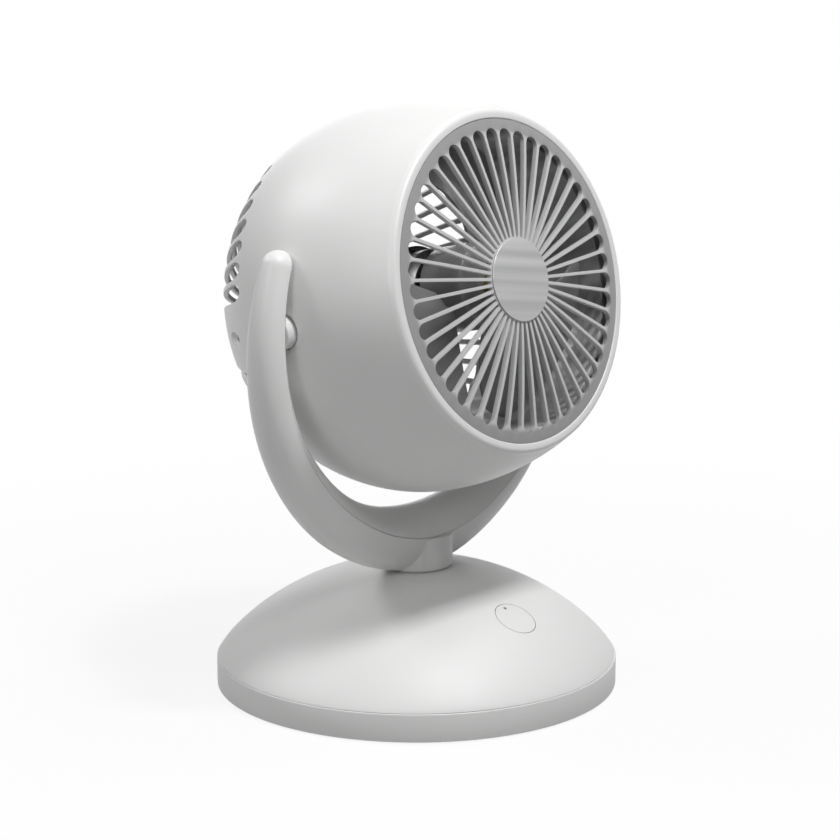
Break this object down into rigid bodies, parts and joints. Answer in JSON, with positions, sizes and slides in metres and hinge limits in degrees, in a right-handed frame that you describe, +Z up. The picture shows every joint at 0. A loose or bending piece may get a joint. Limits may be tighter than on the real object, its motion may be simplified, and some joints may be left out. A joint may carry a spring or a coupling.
{
  "type": "air circulator fan",
  "caption": "Desk air circulator: a round white head with a radial front grille and rear vents tilts in a fork that turns on a domed round base with a button.",
  "frame": {"origin": "middle of the footprint, on the plane that the feet stand on; the fork turns about +Z", "axes": "+Z up, -Y towards the front of the base, where the button is, +X to the right of someone who looks along -Y"},
  "size_m": [0.226, 0.2, 0.2938],
  "materials": {
    "white_plastic": "satin",
    "grille_plastic": "satin",
    "brushed_metal": "brushed",
    "dark_plastic": "satin",
    "blade_plastic": "satin",
    "steel": "plain",
    "brass": "plain",
    "rubber": "matte",
    "board": "matte",
    "clear_lens": "gloss",
    "bearing_plastic": "satin"
  },
  "bodies": {
    "base": {"base_pan": "white_plastic", "base_dome": "white_plastic", "ballast_plate": "steel", "power_inlet": "dark_plastic", "foot_1": "rubber", "foot_2": "rubber", "foot_3": "rubber", "foot_4": "rubber", "base_screw_1": "steel", "base_screw_2": "steel", "base_screw_3": "steel", "base_screw_4": "steel", "swivel_frame": "dark_plastic", "frame_screw_1": "steel", "frame_screw_2": "steel", "frame_screw_3": "steel", "thrust_washer": "bearing_plastic", "swivel_motor": "steel", "control_board": "board", "tact_switch": "dark_plastic"},
    "button": {"power_button": "white_plastic", "indicator_lens": "clear_lens"},
    "pinion": {"drive_pinion": "brass"},
    "fork": {"fork_outer_shell": "white_plastic", "fork_inner_cover": "white_plastic", "swivel_stem": "bearing_plastic", "swivel_gear": "bearing_plastic", "stem_clip": "steel", "tilt_pin_left": "white_plastic", "pin_washer_left": "steel", "tilt_pin_right": "white_plastic", "pin_washer_right": "steel"},
    "head": {"front_shell": "white_plastic", "bezel_ring": "white_plastic", "front_grille": "grille_plastic", "hub_plate": "brushed_metal", "air_duct": "dark_plastic", "rear_shell": "white_plastic", "motor_bracket": "dark_plastic", "fan_motor": "steel", "friction_ring_left": "rubber", "pin_clip_left": "steel", "friction_ring_right": "rubber", "pin_clip_right": "steel", "shell_screw_1": "steel", "shell_screw_2": "steel", "bracket_screw_1": "steel", "bracket_screw_2": "steel", "bracket_screw_3": "steel", "bracket_screw_4": "steel"},
    "impeller_assembly": {"impeller": "blade_plastic", "motor_shaft": "steel", "impeller_nut": "brass"}
  },
  "joints": [
    {"name": "fork_swivel", "type": "hinge", "parent": "base", "child": "fork", "pos_m": [0, 0, 0.06], "axis": [0, 0, 1], "range_deg": [-45, 45]},
    {"name": "pinion_spin", "type": "hinge", "parent": "base", "child": "pinion", "pos_m": [0, 0.032, 0.04], "axis": [0, 0, 1], "range_deg": [-140, 140]},
    {"name": "head_tilt", "type": "hinge", "parent": "fork", "child": "head", "pos_m": [0, -0.002, 0.1918], "axis": [-1, 0, 0], "range_deg": [-28, 76]},
    {"name": "impeller_spin", "type": "hinge", "parent": "head", "child": "impeller_assembly", "pos_m": [0, -0.00093, 0.19638], "axis": [0, -0.9736, 0.2284], "continuous": true},
    {"name": "button_press", "type": "slide", "parent": "base", "child": "button", "axis": [0, 0.4807, -0.8769], "range_m": [0, 0.0008], "stiffness_N_per_m": 800}
  ],
  "couplings": [
    {"joint": "pinion_spin", "follows": "fork_swivel", "ratio": -3}
  ]
}
